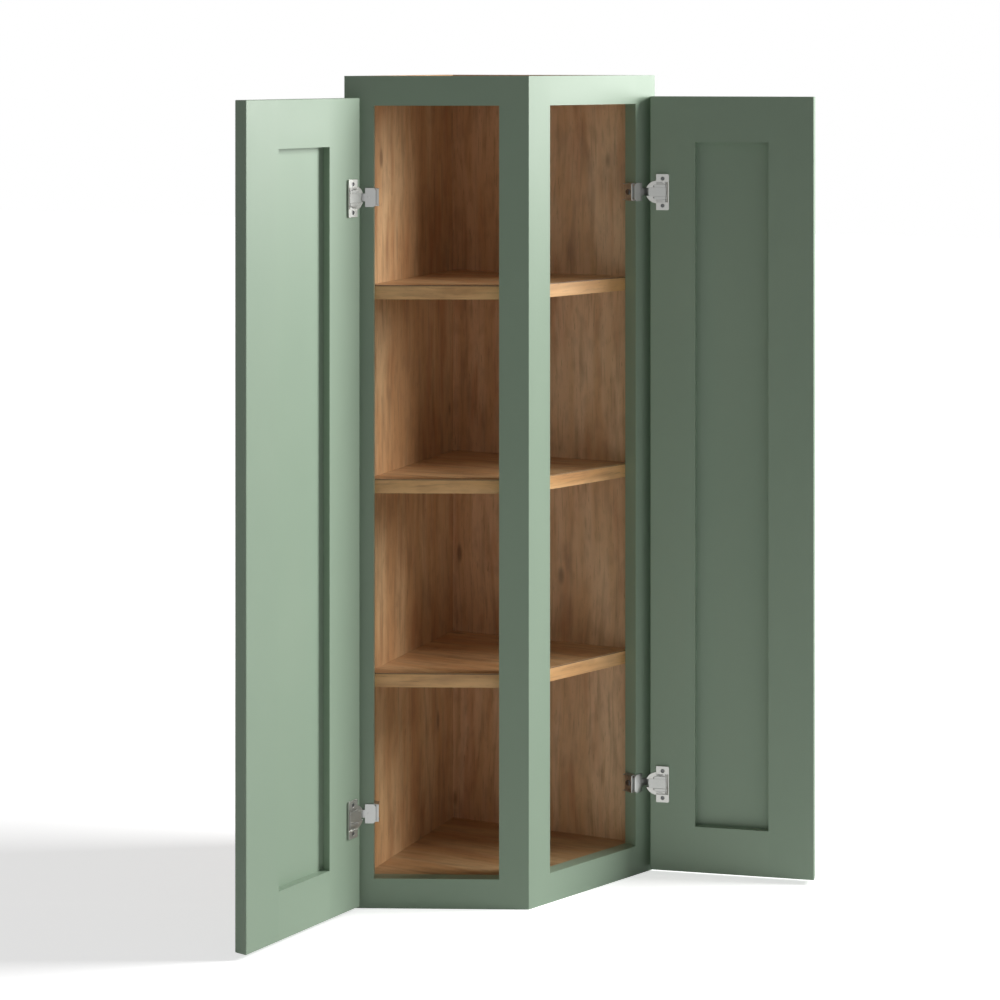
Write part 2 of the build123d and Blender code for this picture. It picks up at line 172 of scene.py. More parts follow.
right_of_camera = Vector((cos(radians(camera_turn)), sin(radians(camera_turn)), 0))
for name, panel in panels.items():
    toward_panel = Matrix.Rotation(radians(panel["turn"]), 3, "Z") @ right_of_camera
    light = bpy.data.lights.new(name, "AREA")
    light.shape = "RECTANGLE"
    light.size = panel["wide"]
    light.size_y = panel["tall"]
    light.energy = panel["power"]
    lamp = bpy.data.objects.new(name, light)
    middle_height = panel["low"] + panel["tall"] / 2
    lamp.location = panel_aim + toward_panel * panel_distance + Vector((0, 0, middle_height))
    lamp.rotation_euler = toward_panel.to_track_quat("Z", "Y").to_euler()
    bpy.context.scene.collection.objects.link(lamp)

world = bpy.data.worlds.new("pale_room")
world.use_nodes = True
tree = world.node_tree
tree.nodes.clear()
strength = add_node(tree, "ShaderNodeMapRange", None, {
    "Value": seen_as_backdrop(tree), "To Min": room_fill, "To Max": 1.0,
})
room = add_node(tree, "ShaderNodeBackground", None, {
    "Color": to_linear("ffffff"), "Strength": strength.outputs["Result"],
})
add_node(tree, "ShaderNodeOutputWorld", None, {"Surface": room.outputs[0]})
bpy.context.scene.world = world


# Carcass: two walls, a floor and a roof of plywood faced with a warm, streaky hardwood
# veneer under clear lacquer. The walls' grain stands upright and their cut edges show
# the plies; floor and roof are housed in dados and run their grain along the wall.
def lacquered_veneer(name, seed, grain_axis, thick_axis, tones, turn=0.0):
    """Hardwood veneer on plywood under satin lacquer. The eye gets soft bands, long fine
    streaks, short dashes, pores, a rare fleck and a low sheen that comes and goes.
    Tones are the veneer's pale, middle, ruddy and dark colours; turn is degrees in plan."""
    # Widths of the grain's features and the thickness of one ply, in metres.
    band, short_band, streak, line, dash, pore = 0.034, 0.0238, 0.012, 0.0032, 0.0022, 0.0014
    sheen_patch, fibre, ply = 0.02, 0.004, 0.0014
    # Cells to the metre, along and across the grain.
    drift_cells, fleck_cells = (4.0, 9.0, 9.0), (9.0, 26.0, 26.0)
    drift_reach, fibre_share = 0.011, 0.5
    fleck_core, fleck_rim, fleck_share, fleck_rarity = 0.05, 0.16, 0.6, 0.74
    fleck_brown, ply_long, ply_end, fibre_shade = "5a3a20", "b08c5e", "7b5936", "9a8a78"
    # A face shows veneer, not plies, where its normal lies this far along the thickness.
    facing_out = 0.7
    # How far apart in the pattern two boards lie whose seeds differ by one.
    board_apart = (1.37, 0.71, 0.29)

    pale, middle, ruddy, dark = [to_linear(code) for code in tones]
    material, tree = new_material(name)
    spot = add_node(tree, "ShaderNodeTexCoord")
    turned = (0, 0, -radians(turn))
    place = add_node(tree, "ShaderNodeMapping", None, {
        "Vector": spot.outputs["Object"], "Rotation": turned,
    })
    place = add_node(tree, "ShaderNodeSeparateXYZ", None, {0: place.outputs[0]})
    facing = add_node(tree, "ShaderNodeMapping", None, {
        "Vector": spot.outputs["Normal"], "Rotation": turned,
    })
    facing = add_node(tree, "ShaderNodeSeparateXYZ", None, {0: facing.outputs[0]})
    across_axis = next(axis for axis in "XYZ" if axis not in (grain_axis, thick_axis))
    board = add_node(tree, "ShaderNodeCombineXYZ", None, {
        "X": place.outputs[grain_axis], "Y": place.outputs[across_axis],
        "Z": place.outputs[thick_axis],
    })
    board = add_node(tree, "ShaderNodeVectorMath", {"operation": "ADD"}, {
        0: board.outputs[0], 1: [seed * step for step in board_apart],
    })
    # The lines drift a few millimetres from side to side along the tree.
    drift = add_node(tree, "ShaderNodeVectorMath", {"operation": "MULTIPLY"}, {
        0: board.outputs[0], 1: drift_cells,
    })
    drift = add_node(tree, "ShaderNodeTexNoise", None, {
        "Vector": drift.outputs[0], "Scale": 1.0, "Detail": 1.0,
    })
    drift = add_node(tree, "ShaderNodeMapRange", None, {
        "Value": drift.outputs["Fac"], "To Min": -drift_reach, "To Max": drift_reach,
    })
    drift = add_node(tree, "ShaderNodeCombineXYZ", None, {"Y": drift.outputs["Result"]})
    board = add_node(tree, "ShaderNodeVectorMath", {"operation": "ADD"}, {
        0: board.outputs[0], 1: drift.outputs[0],
    })

    def grain_noise(width, stretch, detail=2.0):
        """Noise as wide as one feature of the grain and many times as long."""
        scaled = add_node(tree, "ShaderNodeVectorMath", {"operation": "MULTIPLY"}, {
            0: board.outputs[0], 1: (1 / (width * stretch), 1 / width, 1 / width),
        })
        return add_node(tree, "ShaderNodeTexNoise", None, {
            "Vector": scaled.outputs[0], "Scale": 1.0, "Detail": detail, "Roughness": 0.55,
        }).outputs["Fac"]

    def streaked(below, colour, width, stretch, low, high, share=1.0, detail=2.0):
        """Lay streaks of a colour over what is below: none where the noise is low, and up
        to a share where it is high."""
        cover = add_node(tree, "ShaderNodeMapRange", {"interpolation_type": "SMOOTHSTEP"}, {
            "Value": grain_noise(width, stretch, detail), "From Min": low, "From Max": high,
            "To Max": share,
        })
        return add_node(tree, "ShaderNodeMix", {"data_type": "RGBA"}, {
            0: cover.outputs["Result"], 6: below, 7: colour,
        }).outputs[2]

    # Each layer has a width, its length in widths, and the noise between which it fades in.
    tone = streaked(pale, middle, band, 10, 0.38, 0.64)
    tone = streaked(tone, ruddy, short_band, 7, 0.50, 0.72, share=0.7)
    tone = streaked(tone, dark, streak, 9, 0.50, 0.76, share=0.42)
    tone = streaked(tone, dark, line, 22, 0.52, 0.72, share=0.34, detail=3.0)
    # Short dark dashes, two or three centimetres long, and a soft mottle over them.
    tone = streaked(tone, dark, dash, 11, 0.66, 0.74, share=0.5)
    tone = streaked(tone, dark, streak, 2.5, 0.45, 0.70, share=0.22)
    # Pores are a quarter of a millimetre wide; they are drawn coarser, so that they show.
    tone = streaked(tone, dark, pore, 12, 0.62, 0.74, share=0.38)
    # Here and there a small knot or mineral fleck, a few millimetres wide.
    cells = add_node(tree, "ShaderNodeVectorMath", {"operation": "MULTIPLY"}, {
        0: board.outputs[0], 1: fleck_cells,
    })
    cells = add_node(tree, "ShaderNodeTexVoronoi", None, {
        "Vector": cells.outputs[0], "Scale": 1.0,
    })
    fleck = add_node(tree, "ShaderNodeMapRange", {"interpolation_type": "SMOOTHSTEP"}, {
        "Value": cells.outputs["Distance"], "From Min": fleck_core, "From Max": fleck_rim,
        "To Min": fleck_share, "To Max": 0.0,
    })
    chosen = add_node(tree, "ShaderNodeSeparateXYZ", None, {0: cells.outputs["Color"]})
    chosen = add_node(tree, "ShaderNodeMath", {"operation": "GREATER_THAN"}, {
        0: chosen.outputs["X"], 1: fleck_rarity,
    })
    fleck = add_node(tree, "ShaderNodeMath", {"operation": "MULTIPLY"}, {
        0: fleck.outputs["Result"], 1: chosen.outputs[0],
    })
    tone = add_node(tree, "ShaderNodeMix", {"data_type": "RGBA"}, {
        0: fleck.outputs[0], 6: tone, 7: to_linear(fleck_brown),
    })

    # Cut edges: plies laid crosswise in turn, alternately end grain and long grain.
    layer = add_node(tree, "ShaderNodeMath", {"operation": "DIVIDE"}, {
        0: place.outputs[thick_axis], 1: ply,
    })
    layer = add_node(tree, "ShaderNodeMath", {"operation": "PINGPONG"}, {
        0: layer.outputs[0], 1: 1.0,
    })
    layer = add_node(tree, "ShaderNodeMapRange", {"interpolation_type": "SMOOTHSTEP"}, {
        "Value": layer.outputs[0], "From Min": 0.35, "From Max": 0.65,
    })
    plies = add_node(tree, "ShaderNodeMix", {"data_type": "RGBA"}, {
        0: layer.outputs["Result"], 6: to_linear(ply_long), 7: to_linear(ply_end),
    })
    fibres = add_node(tree, "ShaderNodeMix", {"data_type": "RGBA"}, {
        0: grain_noise(fibre, 3), 6: to_linear(fibre_shade), 7: to_linear("ffffff"),
    })
    plies = add_node(tree, "ShaderNodeMix", {"data_type": "RGBA", "blend_type": "MULTIPLY"}, {
        0: fibre_share, 6: plies.outputs[2], 7: fibres.outputs[2],
    })
    flat = add_node(tree, "ShaderNodeMath", {"operation": "ABSOLUTE"}, {
        0: facing.outputs[thick_axis],
    })
    flat = add_node(tree, "ShaderNodeMath", {"operation": "GREATER_THAN"}, {
        0: flat.outputs[0], 1: facing_out,
    })
    colour = add_node(tree, "ShaderNodeMix", {"data_type": "RGBA"}, {
        0: flat.outputs[0], 6: plies.outputs[2], 7: tone.outputs[2],
    })

    sheen = add_node(tree, "ShaderNodeMapRange", {"interpolation_type": "SMOOTHSTEP"}, {
        "Value": grain_noise(sheen_patch, 4), "From Min": 0.3, "From Max": 0.7,
        "To Min": 0.36, "To Max": 0.5,
    })
    relief = add_node(tree, "ShaderNodeBump", None, {
        "Strength": 0.25, "Distance": 0.0002, "Height": grain_noise(pore, 12),
    })
    lacquer = add_node(tree, "ShaderNodeBsdfPrincipled", None, {
        "Base Color": colour.outputs[2], "Roughness": sheen.outputs["Result"], "IOR": 1.5,
        "Normal": relief.outputs[0], "Coat Weight": 0.25, "Coat Roughness": 0.4, "Coat IOR": 1.5,
    })
    add_node(tree, "ShaderNodeOutputMaterial", None, {"Surface": lacquer.outputs[0]})
    return material


def wear(names, material):
    """Give CAD nodes one material."""
    for name in names:
        nodes[name].data.materials.clear()
        nodes[name].data.materials.append(material)


wall_tones = ("d3ab7d", "c49465", "b47c50", "815c3d")
# The back wall's tones are paler than the side wall's: painted light, which lifts the shade that the
# back wall stands in.
back_tones_painted_lighter = ("e7bf96", "d6a87a", "c58c61", "906a4b")
# The floor's tones are darker than the side wall's: painted shade on the cabinet's floor.
floor_tones_painted_shade = ("c09e73", "b2885c", "a57249", "755538")
wear(["side_panel"], lacquered_veneer(
    "veneered_ply_side_wall", seed=1, grain_axis="Z", thick_axis="X", tones=wall_tones,
))
wear(["back_panel"], lacquered_veneer(
    "veneered_ply_back_wall", seed=4, grain_axis="Z", thick_axis="Y", tones=back_tones_painted_lighter,
))
wear(["bottom_panel"], lacquered_veneer(
    "veneered_ply_floor", seed=7, grain_axis="X", thick_axis="Z", tones=floor_tones_painted_shade,
))
wear(["top_panel"], lacquered_veneer(
    "veneered_ply_roof", seed=9, grain_axis="X", thick_axis="Z", tones=wall_tones,
))


# Shelves: three boards of the same veneered plywood, housed in dados in the walls, with
# their front edges cut to follow both face frames. Each shows a grain of its own.
shelf_names = [name for name in sorted(nodes) if name.startswith("shelf")]
for number, name in enumerate(shelf_names):
    wear([name], lacquered_veneer(
        f"veneered_ply_{name}", seed=12 + 5 * number, grain_axis="X", thick_axis="Z",
        tones=wall_tones,
    ))


# Edging: a thin strip of pale veneer glued along both front edges of each shelf, a little
# below the top, so that a dark line of ply shows above it. It takes the shelf's lacquer.
edging_thick = 0.0006
edging_below_top = 0.0013
edging_end_gap = 0.0015
same_face = 0.0001
edging_tones = ("f0bd81", "dda667", "ce9353", "a26f42")
frame_turns = {"left": 22.5, "right": 67.5}
for side, turn in frame_turns.items():
    edging_wood = lacquered_veneer(
        f"pale_veneer_edging_{side}", seed=40, grain_axis="X", thick_axis="Y",
        tones=edging_tones, turn=turn,
    )
    run = Vector((cos(radians(turn)), sin(radians(turn)), 0))
    out_of_cabinet = run.cross(Vector((0, 0, 1)))
    for name in shelf_names:
        low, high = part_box(name)
        corners = [nodes[name].matrix_world @ v.co for v in nodes[name].data.vertices]
        front = max(c.dot(out_of_cabinet) for c in corners)
        ends = [c.dot(run) for c in corners if c.dot(out_of_cabinet) > front - same_face]
        shape = bmesh.new()
        bmesh.ops.create_cube(shape, size=1)
        bmesh.ops.scale(shape, verts=shape.verts, vec=(
            max(ends) - min(ends) - 2 * edging_end_gap,
            edging_thick,
            high.z - low.z - edging_below_top,
        ))
        bmesh.ops.rotate(shape, verts=shape.verts, matrix=Matrix.Rotation(radians(turn), 3, "Z"))
        middle = run * (max(ends) + min(ends)) / 2 + out_of_cabinet * (front + edging_thick / 2)
        middle.z = (low.z + high.z - edging_below_top) / 2
        bmesh.ops.translate(shape, verts=shape.verts, vec=middle)
        edging = piece_from(shape, f"{name}_{side}_edging", edging_wood)
        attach(edging, "cabinet")


# Face frames: stiles and rails of solid hardwood, glued up, sanded and sprayed sage green.
# The outer stiles meet the walls and the inner ones meet each other on a mitre.
def satin_lacquer(name, turn=None):
    """Sprayed satin lacquer on hardwood. The eye gets one even colour that drifts a little,
    with a faint orange peel and a hint of the grain under a soft sheen.
    Turn is a rail's angle in plan; without it the grain is upright."""
    pale, deep, rough, rough_drift, index = "98ab96", "90a590", 0.38, 0.04, 1.37
    # Sizes in metres. The real grain and peel are finer; they are drawn coarser, to show.
    colour_patch, sheen_patch, grain, peel = 0.11, 0.03, 0.0026, 0.004
    grain_stretch, grain_share = 22.0, 0.6

    material, tree = new_material(name)
    spot = add_node(tree, "ShaderNodeTexCoord")
    board = add_node(tree, "ShaderNodeMapping", None, {
        "Vector": spot.outputs["Object"],
        "Rotation": (0, radians(90), 0) if turn is None else (0, 0, -radians(turn)),
    })

    def board_noise(size, stretch=1.0):
        """Noise of one size, drawn out along the grain."""
        scaled = add_node(tree, "ShaderNodeVectorMath", {"operation": "MULTIPLY"}, {
            0: board.outputs[0], 1: (1 / (size * stretch), 1 / size, 1 / size),
        })
        return add_node(tree, "ShaderNodeTexNoise", None, {
            "Vector": scaled.outputs[0], "Scale": 1.0, "Detail": 2.0,
        }).outputs["Fac"]

    colour = add_node(tree, "ShaderNodeMix", {"data_type": "RGBA"}, {
        0: board_noise(colour_patch, 2.0), 6: to_linear(deep), 7: to_linear(pale),
    })
    relief = add_node(tree, "ShaderNodeMath", {"operation": "MULTIPLY_ADD"}, {
        0: board_noise(grain, grain_stretch), 1: grain_share, 2: board_noise(peel),
    })
    relief = add_node(tree, "ShaderNodeBump", None, {
        "Strength": 0.10, "Distance": 0.0004, "Height": relief.outputs[0],
    })
    sheen = add_node(tree, "ShaderNodeMapRange", None, {
        "Value": board_noise(sheen_patch, 3.0),
        "To Min": rough - rough_drift, "To Max": rough + rough_drift,
    })
    paint = add_node(tree, "ShaderNodeBsdfPrincipled", None, {
        "Base Color": colour.outputs[2], "Roughness": sheen.outputs["Result"], "IOR": index,
        "Normal": relief.outputs[0],
    })
    add_node(tree, "ShaderNodeOutputMaterial", None, {"Surface": paint.outputs[0]})
    return material


upright_paint = satin_lacquer("sage_lacquer_upright")
for side, turn in frame_turns.items():
    wear([f"{side}_outer_stile", f"{side}_inner_stile"], upright_paint)
    along_rails = satin_lacquer(f"sage_lacquer_{side}_rails", turn)
    wear([f"{side}_top_rail", f"{side}_bottom_rail"], along_rails)


# Doors: stiles and rails of solid hardwood, tenoned together round a fibreboard panel that
# floats in their grooves, in the same lacquer. Both stand open, at these turns in plan.
door_turns = {"left": 78.0, "right": 12.0}
for side, turn in door_turns.items():
    door = f"{side}_door"
    wear([f"{door}_hinge_stile", f"{door}_free_stile", f"{door}_panel"], upright_paint)
    along_rails = satin_lacquer(f"sage_lacquer_{door}_rails", turn)
    wear([f"{door}_top_rail", f"{door}_bottom_rail"], along_rails)


# Hinge cups, of compact face-frame hinges: zinc castings let into bores in the doors'
# backs. Each has a round flange and body with a slot for the arm and a bay for the
# spring, two thick screw ears, and a raised bar that joins them at the far end.
def plated_metal(name, colour, rough, flaw, strength):
    """Bright plate over metal. Flaw is the size of its unevenness in metres."""
    # The roughness drifts little: below about 0.27 a denoised render leaves metal grainy.
    rough_drift = 0.012
    material, tree = new_material(name)
    spot = add_node(tree, "ShaderNodeTexCoord")
    cloud = add_node(tree, "ShaderNodeTexNoise", None, {
        "Vector": spot.outputs["Object"], "Scale": 1 / flaw, "Detail": 3.0,
    })
    sheen = add_node(tree, "ShaderNodeMapRange", None, {
        "Value": cloud.outputs["Fac"], "From Min": 0.3, "From Max": 0.7,
        "To Min": rough - rough_drift, "To Max": rough + rough_drift,
    })
    relief = add_node(tree, "ShaderNodeBump", None, {
        "Strength": strength, "Distance": 0.0002, "Height": cloud.outputs["Fac"],
    })
    metal = add_node(tree, "ShaderNodeBsdfPrincipled", None, {
        "Base Color": to_linear(colour), "Metallic": 1.0, "Roughness": sheen.outputs["Result"],
        "Normal": relief.outputs[0],
    })
    add_node(tree, "ShaderNodeOutputMaterial", None, {"Surface": metal.outputs[0]})
    return material


def block(shape, across, up, out):
    """A box between two limits each way. Gives its vertices."""
    spans = (across, up, out)
    place = Matrix.Translation([(low + high) / 2 for low, high in spans])
    spread = Matrix.Diagonal([high - low for low, high in spans] + [1])
    return bmesh.ops.create_cube(shape, size=1, matrix=place @ spread)["verts"]


def soften(shape, edges, width, segments=2):
    """Round a set of edges over."""
    bmesh.ops.bevel(
        shape, geom=edges, offset=width, segments=segments, profile=0.5,
        affect="EDGES", material=-1, clamp_overlap=True,
    )


def sharp_edges(shape, least=35):
    """The edges where two faces turn by more than so many degrees."""
    return [e for e in shape.edges if e.is_manifold and e.calc_face_angle() > radians(least)]


def thicken(shape, faces, amount):
    """Pull flat faces out into solids of one thickness."""
    pulled = bmesh.ops.extrude_face_region(shape, geom=faces)["geom"]
    tops = [g for g in pulled if isinstance(g, bmesh.types.BMVert)]
    bmesh.ops.translate(shape, verts=tops, vec=(0, 0, amount))


def score(shape, geom, axis, level):
    """Cut geometry across at one level of an axis. Gives all of it and the cut alone."""
    return bmesh.ops.bisect_plane(
        shape, geom=geom, dist=0.001, plane_co=[level if axis == i else 0 for i in range(3)],
        plane_no=[axis == i for i in range(3)],
    )


def each_once(things):
    """Things in their order, without repeats."""
    return list(dict.fromkeys(things))


def disc(shape, middle, radius, height, thick, openings):
    """A round plate with rectangular openings, each as (across limits, up limits)."""
    rim = bmesh.ops.create_circle(
        shape, cap_ends=True, segments=72, radius=radius,
        matrix=Matrix.Translation((middle, 0, height)),
    )["verts"]
    faces = list(rim[0].link_faces)
    for limits in openings:
        for axis, levels in enumerate(limits):
            for level in levels:
                whole = each_once(g for f in faces for g in (f, *f.edges, *f.verts))
                cut = score(shape, whole, axis, level)
                faces = [g for g in cut["geom"] if isinstance(g, bmesh.types.BMFace)]
    gone = [f for f in faces if any(
        a[0] < f.calc_center_median().x < a[1] and b[0] < f.calc_center_median().y < b[1]
        for a, b in openings
    )]
    kept = [f for f in faces if f not in gone]
    bmesh.ops.delete(shape, geom=gone, context="FACES")
    thicken(shape, kept, thick)


def screw_ear(shape, along, up, thick, hole_at, hole_radius, round_off):
    """A flat ear with its outer corners rounded and a round hole through it."""
    middle = Matrix.Translation((sum(along) / 2, sum(up) / 2, 0))
    spread = Matrix.Diagonal((along[1] - along[0], up[1] - up[0], 1, 1))
    corners = bmesh.ops.create_grid(
        shape, x_segments=1, y_segments=1, size=0.5, matrix=middle @ spread,
    )["verts"]
    outer = [v for v in corners if v.co.x > hole_at[0] and abs(v.co.y) > abs(hole_at[1])]
    inner = next(v for v in corners if v not in outer)
    bmesh.ops.bevel(
        shape, geom=outer, offset=round_off, segments=4, profile=0.5,
        affect="VERTICES", material=-1,
    )
    face = inner.link_faces[0]
    edges = list(face.edges)
    bmesh.ops.delete(shape, geom=[face], context="FACES_ONLY")
    ring = bmesh.ops.create_circle(
        shape, segments=28, radius=hole_radius, matrix=Matrix.Translation((*hole_at, 0)),
    )["verts"]
    edges += each_once(e for v in ring for e in v.link_edges)
    filled = bmesh.ops.triangle_fill(
        shape, use_beauty=True, use_dissolve=False, edges=edges,
    )["geom"]
    thicken(shape, [g for g in filled if isinstance(g, bmesh.types.BMFace)], thick)


def join_in(shape, extra, place=Matrix()):
    """Set a second bmesh in its place and make it part of the first."""
    bmesh.ops.transform(extra, matrix=place, verts=extra.verts)
    loose = bpy.data.meshes.new("loose")
    extra.to_mesh(loose)
    extra.free()
    shape.from_mesh(loose)
    bpy.data.meshes.remove(loose)


def metal_piece(shape, name, material, body, slot, *stands_for):
    """Finish a hinge part, attach it to what it rides on, and hide the source parts it stands for.
    """
    piece = piece_from(shape, name, material)
    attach(piece, body)
    if stands_for:
        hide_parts(*stands_for)


def millimetres_at(start, *directions):
    """The matrix from millimetres along three directions to their place in metres."""
    turned = Matrix(directions).transposed().to_4x4()
    return Matrix.Scale(0.001, 4) @ Matrix.Translation(start) @ turned


# Hinge sizes are in millimetres. On the door, across is from its hinge edge and out is from
# its back face; on the frame, along is from its outer edge and out is from its front face.
# The pivot is given on the door, and the frame starts are where those faces begin in plan.
hinge_levels = {"lower": 121.5, "upper": 911.1}
frame_starts = {"left": (-154.8, -309.6), "right": (154.8, 0.0)}
pivot_across, pivot_out = -0.6, -4.6
hinges = []
for joint in frame["joints"]:
    side = joint["child"].removesuffix("_door")
    hand = 1 if side == "left" else -1
    door_turn, frame_turn = radians(door_turns[side]), radians(frame_turns[side])
    across = Vector((cos(door_turn), sin(door_turn), 0)) * -hand
    door_out = Vector((sin(door_turn), -cos(door_turn), 0))
    along = Vector((cos(frame_turn), sin(frame_turn), 0)) * hand
    frame_out = Vector((sin(frame_turn), -cos(frame_turn), 0))
    up = Vector((0, 0, 1))
    pivot = Vector(joint["pos_m"]) * 1000
    for place, level in hinge_levels.items():
        pivot.z = level
        door_start = pivot - across * pivot_across - door_out * pivot_out
        frame_start = Vector((*frame_starts[side], level))
        hinges.append({
            "side": side,
            "name": f"{side}_{place}_hinge",
            "on_door": millimetres_at(door_start, across, up, door_out),
            "on_frame": millimetres_at(frame_start, along, up, frame_out),
        })

# Nickel plate over a die casting: bright and even, with a trace of the casting's skin.
cast_nickel = plated_metal("nickel_plated_zinc", "c2c2be", rough=0.29, flaw=0.0012, strength=0.06)

cup_middle, cup_radius, flange_radius = 9.0, 14.8, 15.2
cup_depth, cup_floor, flange_thick = 9.2, 1.0, 0.8
arm_slot = ((-20.0, 3.6), (-5.3, 5.3))
spring_bay = ((4.6, 20.0), (-8.5, 8.5))
ear_from, ear_to, ear_low, ear_high = 8.2, 25.6, 13.6, 24.0
ear_thick, ear_round, edge_soft, soft_above = 2.8, 2.0, 0.35, 2.2
ear_screw_across, ear_screw_up, ear_hole = 17.0, 18.0, 2.6
bar_from, bar_low, bar_lap = 22.7, 1.25, 0.2
bar_step, bar_step_high = 24.2, 2.5
hair = 0.01

for hinge in hinges:
    cup = bmesh.new()
    disc(cup, cup_middle, flange_radius, 0, flange_thick, (arm_slot, spring_bay))
    disc(
        cup, cup_middle, cup_radius, cup_floor - cup_depth, cup_depth - cup_floor,
        (arm_slot, spring_bay),
    )
    disc(cup, cup_middle, cup_radius, -cup_depth, cup_floor, (arm_slot,))
    bmesh.ops.recalc_face_normals(cup, faces=cup.faces)
    rims = [e for e in sharp_edges(cup) if all(v.co.z > flange_thick - hair for v in e.verts)]
    soften(cup, rims, edge_soft)

    ears = bmesh.new()
    block(ears, (spring_bay[0][1], ear_to), (-ear_low, ear_low), (0, flange_thick))
    for end in (1, -1):
        heights = sorted((end * spring_bay[1][1], end * ear_low))
        block(ears, (ear_from, ear_to), heights, (0, flange_thick))
        screw_ear(
            ears, (ear_from, ear_to), sorted((end * ear_low, end * ear_high)), ear_thick,
            (ear_screw_across, end * ear_screw_up), ear_hole, ear_round,
        )
    # The bar slopes down to its near edge, which clears the arm's plate when shut.
    bar = block(ears, (bar_from, ear_to), (-ear_low - bar_lap, ear_low + bar_lap), (0, ear_thick))
    whole = each_once(g for v in bar for g in (v, *v.link_edges, *v.link_faces))
    step = score(ears, whole, 0, bar_step)
    for v in bar:
        if v.co.x < bar_from + hair and v.co.z > ear_thick - hair:
            v.co.z = bar_low
    for v in step["geom_cut"]:
        if isinstance(v, bmesh.types.BMVert) and v.co.z > ear_thick - hair:
            v.co.z = bar_step_high
    bmesh.ops.recalc_face_normals(ears, faces=ears.faces)
    tops = [e for e in sharp_edges(ears) if sum(v.co.z for v in e.verts) / 2 > soft_above]
    soften(ears, tops, edge_soft)

    join_in(cup, ears)
    bmesh.ops.transform(cup, matrix=hinge["on_door"], verts=cup.verts)
    name = hinge["name"]
    metal_piece(
        cup, f"{name}_cast_cup", cast_nickel, f"{hinge['side']}_door", "nickel_plate",
        f"{name}_cup",
    )


# Cup screws: two small countersunk cross-recess screws of zinc plated steel through the
# ears of each cup, sunk a little, into the door's back.
def screw(shape, place, head_radius, head_height, shank_radius, length, sunk):
    """A cross-recess screw whose seat is at the place, its head above or sunk below it."""
    # Shares of the head's radius or height, and of the shank's radius; then millimetres.
    cross_wing, cross_reach, cross_depth, tip_share = 0.16, 0.58, 0.45, 0.3
    pan_round, shank_lap = 0.8, 0.05
    own = bmesh.new()
    top = 0 if sunk else head_height
    bmesh.ops.create_cone(
        own, cap_ends=True, segments=28, depth=head_height,
        radius1=shank_radius if sunk else head_radius, radius2=head_radius,
        matrix=Matrix.Translation((0, 0, top - head_height / 2)),
    )
    if not sunk:
        rims = [e for e in own.edges if all(v.co.z > top - hair for v in e.verts)]
        soften(own, rims, pan_round, segments=4)
    wing, reach = cross_wing * head_radius, cross_reach * head_radius
    for axis in (0, 1):
        for level in (-reach, -wing, wing, reach):
            score(own, own.verts[:] + own.edges[:] + own.faces[:], axis, level)
    cross = []
    for face in own.faces:
        spot = face.calc_center_median()
        inner, outer = sorted((abs(spot.x), abs(spot.y)))
        if spot.z > top - hair and outer < reach and inner < wing:
            cross.append(face)
    thicken(own, cross, -cross_depth * head_height)
    bmesh.ops.create_cone(
        own, cap_ends=True, segments=20, radius1=tip_share * shank_radius, radius2=shank_radius,
        depth=length, matrix=Matrix.Translation((0, 0, top - head_height - length / 2 + shank_lap)),
    )
    join_in(shape, own, place)


# Zinc plate on turned steel: duller and greyer than the nickel round it. Its grey is set darker than
# zinc plate is, which paints in the shade of the dark ring round each screw head.
screw_plate_and_painted_shade = plated_metal("zinc_plated_screw_painted_darker", "6f7071", rough=0.4, flaw=0.0008, strength=0.1)

cup_screw = {
    "head_radius": 2.1, "head_height": 1.3, "shank_radius": 1.4, "length": 12.0, "sunk": True,
}
cup_screw_sink = 1.2
for side in door_turns:
    screws = bmesh.new()
    for hinge in hinges:
        if hinge["side"] == side:
            for end in (1, -1):
                seat = (ear_screw_across, end * ear_screw_up, ear_thick - cup_screw_sink)
                screw(screws, hinge["on_door"] @ Matrix.Translation(seat), **cup_screw)
    metal_piece(screws, f"{side}_cup_screws", screw_plate_and_painted_shade, f"{side}_door", "screw_steel")


# Hinge covers: a pressed steel tongue over each cup's spring, clipped in between the ears,
# with fine ribs along its middle and a rounded ridge along each side.
cover_tip, cover_end, cover_half, cover_top = -1.9, 21.0, 6.3, 1.1
ridge_from, ridge_to, ridge_out, ridge_top = 5.4, 20.7, 10.0, 1.5
cover_soft = 0.6
rib_count, rib_from, rib_to = 7, 6.2, 19.6
rib_half, rib_proud, rib_root, ribbed_share = 0.25, 0.07, 0.1, 0.8

# Nickel plate over pressed strip: a shade darker and smoother than the casting.
pressed_dull = plated_metal(
    "nickel_plated_cover_steel", "b6b7b4", rough=0.29, flaw=0.002, strength=0.05,
)
for hinge in hinges:
    cover = bmesh.new()
    block(cover, (cover_tip, cover_end), (-cover_half, cover_half), (flange_thick, cover_top))
    for end in (1, -1):
        side_limits = sorted((end * cover_half, end * ridge_out))
        block(cover, (ridge_from, ridge_to), side_limits, (flange_thick, ridge_top))
    raised = [e for e in cover.edges if all(v.co.z > flange_thick + hair for v in e.verts)]
    soften(cover, raised, cover_soft, segments=4)
    for number in range(rib_count):
        middle = (number - (rib_count - 1) / 2) * 2 * cover_half * ribbed_share / rib_count
        block(
            cover, (rib_from, rib_to), (middle - rib_half, middle + rib_half),
            (cover_top - rib_root, cover_top + rib_proud),
        )
    bmesh.ops.transform(cover, matrix=hinge["on_door"], verts=cover.verts)
    name = hinge["name"]
    metal_piece(
        cover, f"{name}_pressed_cover", pressed_dull, f"{hinge['side']}_door", "nickel_plate",
        f"{name}_cover",
    )


# Hinge arms: bent steel pressings that turn on the cups' pins and whose plates lie on the
# frame's face. The press leaves their edges rounded over, and a punch mark on the plate.
pressing_soft = 0.00025


